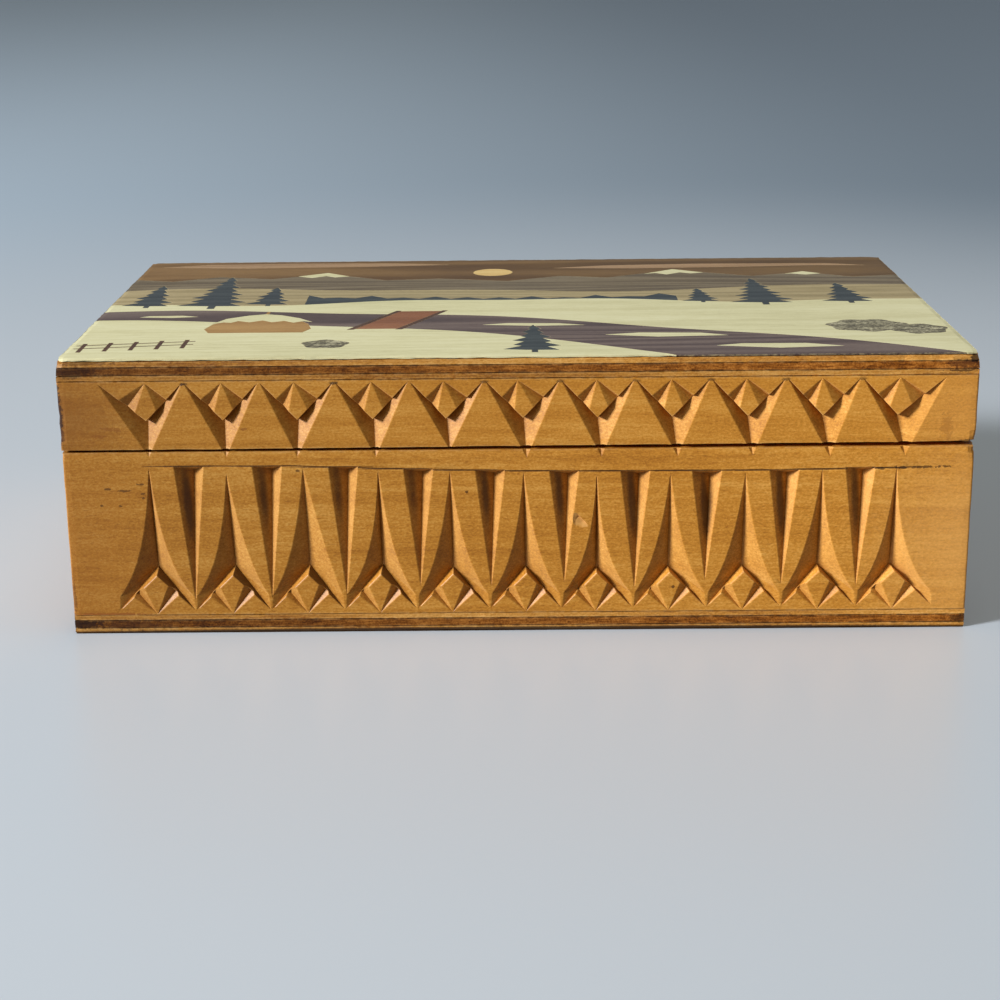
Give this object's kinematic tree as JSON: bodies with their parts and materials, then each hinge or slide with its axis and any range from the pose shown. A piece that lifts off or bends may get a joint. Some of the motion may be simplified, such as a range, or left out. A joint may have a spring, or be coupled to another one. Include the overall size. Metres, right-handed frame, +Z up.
{
  "type": "marquetry trinket box",
  "caption": "Rectangular wooden trinket box with chip-carved sides and a hinged lid that carries an inlaid veneer landscape.",
  "frame": {"origin": "middle of the underside, on the surface that the box stands on", "axes": "+X along the width to the right, +Y from the carved front to the hinged back, +Z up"},
  "size_m": [0.201, 0.124, 0.0633],
  "materials": {
    "carved_lime": "honey varnish, satin",
    "face_ply": "honey varnish, satin",
    "core_ply": "dark stained edge, matt",
    "hinge_brass": "worn, satin",
    "hinge_steel": "satin",
    "sky_pear": "thin varnish, satin",
    "cloud_beech": "thin varnish, satin",
    "sun_satinwood": "thin varnish, satin",
    "mountain_walnut": "thin varnish, satin",
    "snow_sycamore": "thin varnish, satin",
    "hill_greywood": "thin varnish, satin",
    "fir_bog_oak": "thin varnish, satin",
    "river_smoked_oak": "thin varnish, satin",
    "hay_burr": "thin varnish, satin",
    "bridge_mahogany": "thin varnish, satin",
    "rail_walnut": "thin varnish, satin",
    "bush_burr": "thin varnish, satin"
  },
  "bodies": {
    "box": {"base_outer_ply": "face_ply", "base_core_ply": "core_ply", "base_inner_ply": "face_ply", "box_front_wall": "carved_lime", "box_back_wall": "carved_lime", "box_left_wall": "carved_lime", "box_right_wall": "carved_lime", "left_hinge_box_leaf": "hinge_brass", "left_hinge_pin": "hinge_steel", "right_hinge_box_leaf": "hinge_brass", "right_hinge_pin": "hinge_steel", "box_hinge_nails": "hinge_brass"},
    "lid": {"lid_front_rail": "carved_lime", "lid_back_rail": "carved_lime", "lid_left_rail": "carved_lime", "lid_right_rail": "carved_lime", "lid_back_ply": "face_ply", "lid_core_ply": "core_ply", "lid_face_ply": "face_ply", "left_hinge_lid_leaf": "hinge_brass", "right_hinge_lid_leaf": "hinge_brass", "lid_hinge_nails": "hinge_brass", "sky_veneer": "sky_pear", "cloud_veneer": "cloud_beech", "sun_veneer": "sun_satinwood", "mountain_veneer": "mountain_walnut", "mountain_snow_veneer": "snow_sycamore", "hill_veneer": "hill_greywood", "far_forest_veneer": "fir_bog_oak", "far_snow_veneer": "snow_sycamore", "river_veneer": "river_smoked_oak", "ice_veneer": "snow_sycamore", "near_snow_veneer": "snow_sycamore", "left_firs_veneer": "fir_bog_oak", "right_firs_veneer": "fir_bog_oak", "front_fir_veneer": "fir_bog_oak", "haystack_veneer": "hay_burr", "haystack_snow_veneer": "snow_sycamore", "bridge_deck_veneer": "bridge_mahogany", "bridge_rails_veneer": "rail_walnut", "fence_veneer": "rail_walnut", "bushes_veneer": "bush_burr"}
  },
  "joints": [
    {"name": "lid_hinge", "type": "hinge", "parent": "box", "child": "lid", "pos_m": [0, 0.0593, 0.04265], "axis": [-1, 0, 0], "range_deg": [0, 103]}
  ]
}
